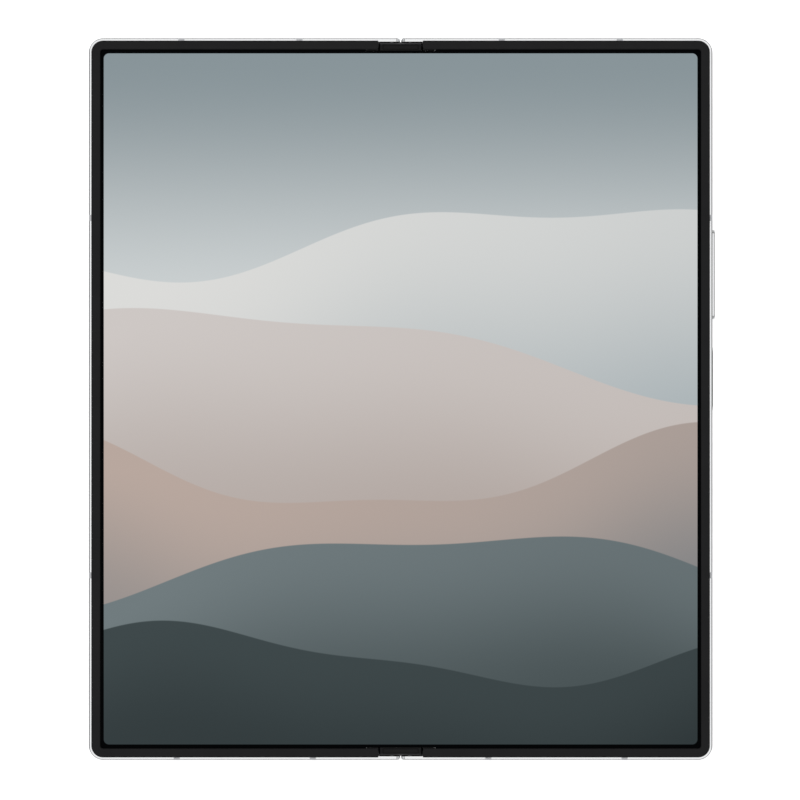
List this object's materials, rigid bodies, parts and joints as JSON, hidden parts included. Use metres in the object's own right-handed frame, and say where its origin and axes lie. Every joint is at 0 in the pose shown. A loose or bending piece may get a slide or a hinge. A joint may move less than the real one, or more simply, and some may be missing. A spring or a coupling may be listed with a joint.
{
  "type": "foldable smartphone",
  "caption": "Book-style folding phone lying open: metal halves with raised dark bezels, flexible inner display, geared hinge under it, side keys, card tray and rear camera island.",
  "frame": {"origin": "on the fold line, halfway along the fold, at the level of the camera rings that the phone stands on", "axes": "+X across the phone towards the half with the keys, +Y along the fold towards the top edge, +Z out of the inner display"},
  "size_m": [0.1331, 0.1536, 0.0073],
  "materials": {
    "frame_metal": "bead-blasted satin",
    "spine_metal": "satin",
    "hinge_steel": "fine ground",
    "cap_plastic": "fine matte",
    "bezel_plastic": "soft matte",
    "band_plastic": "smooth matte",
    "key_metal": "satin",
    "inner_display": "smooth film over a lit panel",
    "wing_steel": "ground",
    "gear_brass": "machined",
    "cover_glass": "polished",
    "cover_panel": "gloss",
    "back_glass": "etched matte glass",
    "island_metal": "satin",
    "ring_metal": "anodised dark",
    "lens_glass": "coated optical glass",
    "module_black": "moulded",
    "flash_lens": "frosted",
    "battery_foil": "foil wrap",
    "board_green": "solder mask",
    "can_steel": "pressed",
    "coil_copper": "bare wire",
    "flex_film": "film",
    "tray_metal": "satin",
    "card_plastic": "smooth"
  },
  "bodies": {
    "hinge": {"hinge_spine": "spine_metal", "hinge_block_upper": "hinge_steel", "hinge_block_middle": "hinge_steel", "hinge_block_lower": "hinge_steel", "hinge_caps": "cap_plastic", "idler_shafts": "hinge_steel", "block_screws": "hinge_steel"},
    "left_half": {"left_frame": "frame_metal", "left_antenna_bands": "band_plastic", "left_bezel": "bezel_plastic", "left_display": "inner_display", "cover_glass": "cover_glass", "cover_display": "cover_panel", "cover_camera": "module_black", "left_battery": "battery_foil", "left_board": "board_green", "left_rails": "hinge_steel", "left_pivots": "hinge_steel", "top_speaker": "module_black", "sim_reader": "can_steel", "vibration_motor": "can_steel", "left_screws": "hinge_steel"},
    "left_wing": {"left_wing_plate": "wing_steel", "left_wing_display": "inner_display"},
    "left_strip_1": {"left_fold_strip_1": "inner_display"},
    "left_strip_2": {"left_fold_strip_2": "inner_display"},
    "card_tray": {"sim_tray": "tray_metal", "sim_cards": "card_plastic"},
    "right_half": {"right_frame": "frame_metal", "right_antenna_bands": "band_plastic", "right_bezel": "bezel_plastic", "right_display": "inner_display", "back_glass": "back_glass", "camera_island": "island_metal", "camera_rings": "ring_metal", "camera_lenses": "lens_glass", "camera_modules": "module_black", "camera_flash": "flash_lens", "right_battery": "battery_foil", "main_board": "board_green", "shield_cans": "can_steel", "charging_coil": "coil_copper", "sub_board": "board_green", "usb_port": "can_steel", "bottom_speaker": "module_black", "inner_camera": "module_black", "right_rails": "hinge_steel", "right_pivots": "hinge_steel", "key_switches": "flex_film", "right_screws": "hinge_steel"},
    "right_wing": {"right_wing_plate": "wing_steel", "right_wing_display": "inner_display"},
    "right_strip_1": {"right_fold_strip_1": "inner_display"},
    "right_strip_2": {"right_fold_strip_2": "inner_display"},
    "volume_key": {"volume_rocker": "key_metal"},
    "side_button": {"side_key": "key_metal"},
    "left_idler": {"left_idlers": "gear_brass"},
    "right_idler": {"right_idlers": "gear_brass"}
  },
  "joints": [
    {"name": "left_fold", "type": "hinge", "parent": "hinge", "child": "left_half", "pos_m": [-0.0019, 0, 0.00545], "axis": [0, 1, 0], "range_deg": [0, 90]},
    {"name": "right_fold", "type": "hinge", "parent": "hinge", "child": "right_half", "pos_m": [0.0019, 0, 0.00545], "axis": [0, -1, 0], "range_deg": [0, 90]},
    {"name": "left_wing_turn", "type": "hinge", "parent": "left_half", "child": "left_wing", "pos_m": [-0.00734, 0, 0.0068], "axis": [0, 1, 0], "range_deg": [0, 15]},
    {"name": "right_wing_turn", "type": "hinge", "parent": "right_half", "child": "right_wing", "pos_m": [0.00734, 0, 0.0068], "axis": [0, -1, 0], "range_deg": [0, 15]},
    {"name": "left_strip_turn_1", "type": "hinge", "parent": "left_wing", "child": "left_strip_1", "pos_m": [-0.00265, 0, 0.0068], "axis": [0, 1, 0], "range_deg": [-35, 0]},
    {"name": "left_strip_turn_2", "type": "hinge", "parent": "left_strip_1", "child": "left_strip_2", "pos_m": [-0.00159, 0, 0.0068], "axis": [0, 1, 0], "range_deg": [-35, 0]},
    {"name": "right_strip_turn_1", "type": "hinge", "parent": "right_wing", "child": "right_strip_1", "pos_m": [0.00265, 0, 0.0068], "axis": [0, -1, 0], "range_deg": [-35, 0]},
    {"name": "right_strip_turn_2", "type": "hinge", "parent": "right_strip_1", "child": "right_strip_2", "pos_m": [0.00159, 0, 0.0068], "axis": [0, -1, 0], "range_deg": [-35, 0]},
    {"name": "left_idler_spin", "type": "hinge", "parent": "hinge", "child": "left_idler", "pos_m": [-0.00095, 0, 0.0038], "axis": [0, 1, 0], "range_deg": [-90, 0]},
    {"name": "right_idler_spin", "type": "hinge", "parent": "hinge", "child": "right_idler", "pos_m": [0.00095, 0, 0.0038], "axis": [0, 1, 0], "range_deg": [0, 90]},
    {"name": "volume_rock", "type": "hinge", "parent": "right_half", "child": "volume_key", "pos_m": [0.06467, 0.02647, 0.0041], "axis": [0, 0, 1], "range_deg": [-1.2, 1.2], "stiffness_Nm_per_rad": 0.3},
    {"name": "side_key_press", "type": "slide", "parent": "right_half", "child": "side_button", "axis": [-1, 0, 0], "range_m": [0, 0.00025], "stiffness_N_per_m": 4000},
    {"name": "card_tray_slide", "type": "slide", "parent": "left_half", "child": "card_tray", "axis": [-1, 0, 0], "range_m": [0, 0.02]}
  ],
  "couplings": [
    {"joint": "right_fold", "follows": "left_fold", "ratio": 1},
    {"joint": "left_wing_turn", "follows": "left_fold", "ratio": 0.16667},
    {"joint": "right_wing_turn", "follows": "left_fold", "ratio": 0.16667},
    {"joint": "left_strip_turn_1", "follows": "left_fold", "ratio": -0.38889},
    {"joint": "left_strip_turn_2", "follows": "left_fold", "ratio": -0.38889},
    {"joint": "right_strip_turn_1", "follows": "left_fold", "ratio": -0.38889},
    {"joint": "right_strip_turn_2", "follows": "left_fold", "ratio": -0.38889},
    {"joint": "left_idler_spin", "follows": "left_fold", "ratio": -1},
    {"joint": "right_idler_spin", "follows": "left_fold", "ratio": 1}
  ]
}
